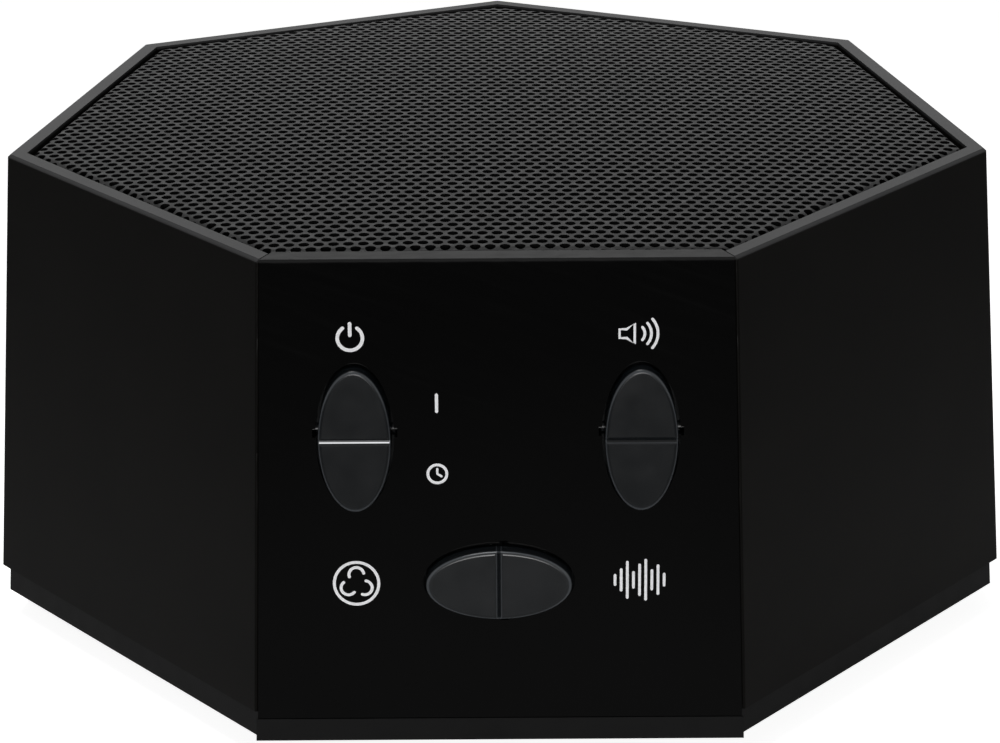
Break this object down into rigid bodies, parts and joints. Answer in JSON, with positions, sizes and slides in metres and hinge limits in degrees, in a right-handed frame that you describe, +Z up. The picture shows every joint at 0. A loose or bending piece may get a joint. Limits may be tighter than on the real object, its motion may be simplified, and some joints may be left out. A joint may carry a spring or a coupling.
{
  "type": "white noise sound machine",
  "caption": "Seven-sided table-top white noise sound machine with oval rocker keys on a gloss front panel and a perforated grille over an upward-facing loudspeaker.",
  "frame": {"origin": "centre of the footprint on the surface the feet stand on", "axes": "+Z up towards the grille, the front panel with the keys faces -Y, +X to the right seen from the front"},
  "size_m": [0.1118, 0.1099, 0.0547],
  "materials": {
    "shell_plastic": "satin black, fine moulded grain",
    "panel_plastic": "high gloss black",
    "key_plastic": "satin black",
    "light_bar": "lit white",
    "grille_steel": "satin black paint",
    "base_plastic": "satin black",
    "foot_rubber": "matt",
    "screw_steel": "zinc plated",
    "board": "green solder mask",
    "chip": "moulded black",
    "connector": "natural nylon",
    "capacitor_sleeve": "dark blue sleeve",
    "ferrite": "sintered",
    "switch_body": "moulded black",
    "plunger": "moulded grey",
    "led_lens": "clear to milky",
    "basket_steel": "black paint",
    "plate_steel": "zinc plated",
    "cone": "polypropylene",
    "surround_rubber": "satin",
    "spider_cloth": "resin dipped weave",
    "coil": "enamelled copper on a paper former",
    "gasket_foam": "closed-cell foam",
    "terminal_board": "brown laminate",
    "jack_plastic": "moulded black",
    "jack_pin": "nickel plated",
    "lead_red": "insulation",
    "lead_black": "insulation",
    "ribbon": "grey insulation"
  },
  "bodies": {
    "housing": {"amplifier_chip": "chip", "base_plate": "base_plastic", "base_screws": "screw_steel", "control_board": "board", "control_board_screws": "screw_steel", "controller_chip": "chip", "dc_jack": "jack_plastic", "dc_jack_pin": "jack_pin", "foot_front_left": "foot_rubber", "foot_front_right": "foot_rubber", "foot_rear_left": "foot_rubber", "foot_rear_right": "foot_rubber", "front_panel": "panel_plastic", "grille": "grille_steel", "housing_shell": "shell_plastic", "inductor": "ferrite", "main_board": "board", "main_board_screws": "screw_steel", "output_capacitor": "capacitor_sleeve", "power_switch_lower": "switch_body", "power_switch_upper": "switch_body", "regulator_chip": "chip", "ribbon_cable": "ribbon", "ribbon_socket_front": "connector", "ribbon_socket_main": "connector", "sound_switch_left": "switch_body", "sound_switch_right": "switch_body", "speaker_frame": "basket_steel", "speaker_gasket": "gasket_foam", "speaker_lead_black": "lead_black", "speaker_lead_red": "lead_red", "speaker_magnet": "ferrite", "speaker_plug": "connector", "speaker_screws": "screw_steel", "speaker_socket": "connector", "speaker_spider": "spider_cloth", "speaker_surround": "surround_rubber", "speaker_terminals": "terminal_board", "speaker_top_plate": "plate_steel", "speaker_yoke": "plate_steel", "status_led": "led_lens", "supply_capacitor": "capacitor_sleeve", "volume_switch_lower": "switch_body", "volume_switch_upper": "switch_body"},
    "power_key": {"power_rocker": "key_plastic", "power_light_bar": "light_bar"},
    "volume_key": {"volume_rocker": "key_plastic"},
    "sound_key": {"sound_rocker": "key_plastic"},
    "speaker_diaphragm": {"speaker_cone": "cone", "dust_cap": "cone", "voice_coil": "coil"},
    "power_plunger_upper_body": {"power_plunger_upper": "plunger"},
    "power_plunger_lower_body": {"power_plunger_lower": "plunger"},
    "volume_plunger_upper_body": {"volume_plunger_upper": "plunger"},
    "volume_plunger_lower_body": {"volume_plunger_lower": "plunger"},
    "sound_plunger_right_body": {"sound_plunger_right": "plunger"},
    "sound_plunger_left_body": {"sound_plunger_left": "plunger"}
  },
  "joints": [
    {"name": "power_key_tilt", "type": "hinge", "parent": "housing", "child": "power_key", "pos_m": [-0.0143, -0.04939, 0.03528], "axis": [1, 0, 0], "range_deg": [-2.6, 2.6], "stiffness_Nm_per_rad": 0.17},
    {"name": "power_press_upper", "type": "slide", "parent": "housing", "child": "power_plunger_upper_body", "axis": [0, -0.9983, 0.0583], "range_m": [-0.000245, 0.000245]},
    {"name": "power_press_lower", "type": "slide", "parent": "housing", "child": "power_plunger_lower_body", "axis": [0, -0.9983, 0.0583], "range_m": [-0.000245, 0.000245]},
    {"name": "volume_key_tilt", "type": "hinge", "parent": "housing", "child": "volume_key", "pos_m": [0.0143, -0.04939, 0.03528], "axis": [1, 0, 0], "range_deg": [-2.6, 2.6], "stiffness_Nm_per_rad": 0.17},
    {"name": "volume_press_upper", "type": "slide", "parent": "housing", "child": "volume_plunger_upper_body", "axis": [0, -0.9983, 0.0583], "range_m": [-0.000245, 0.000245]},
    {"name": "volume_press_lower", "type": "slide", "parent": "housing", "child": "volume_plunger_lower_body", "axis": [0, -0.9983, 0.0583], "range_m": [-0.000245, 0.000245]},
    {"name": "sound_key_tilt", "type": "hinge", "parent": "housing", "child": "sound_key", "pos_m": [0, -0.05028, 0.02006], "axis": [0, -0.0583, -0.9983], "range_deg": [-2.6, 2.6], "stiffness_Nm_per_rad": 0.17},
    {"name": "sound_press_right", "type": "slide", "parent": "housing", "child": "sound_plunger_right_body", "axis": [0, -0.9983, 0.0583], "range_m": [-0.000245, 0.000245]},
    {"name": "sound_press_left", "type": "slide", "parent": "housing", "child": "sound_plunger_left_body", "axis": [0, -0.9983, 0.0583], "range_m": [-0.000245, 0.000245]},
    {"name": "diaphragm_stroke", "type": "slide", "parent": "housing", "child": "speaker_diaphragm", "axis": [0, 0, 1], "range_m": [-0.0015, 0.0015], "stiffness_N_per_m": 600, "deforming": ["speaker_surround", "speaker_spider"]}
  ],
  "couplings": [
    {"joint": "power_key_tilt", "follows": "power_press_upper", "rad_per_m": 185.19},
    {"joint": "power_press_lower", "follows": "power_press_upper", "ratio": -1},
    {"joint": "volume_key_tilt", "follows": "volume_press_upper", "rad_per_m": 185.19},
    {"joint": "volume_press_lower", "follows": "volume_press_upper", "ratio": -1},
    {"joint": "sound_key_tilt", "follows": "sound_press_right", "rad_per_m": 185.19},
    {"joint": "sound_press_left", "follows": "sound_press_right", "ratio": -1}
  ]
}
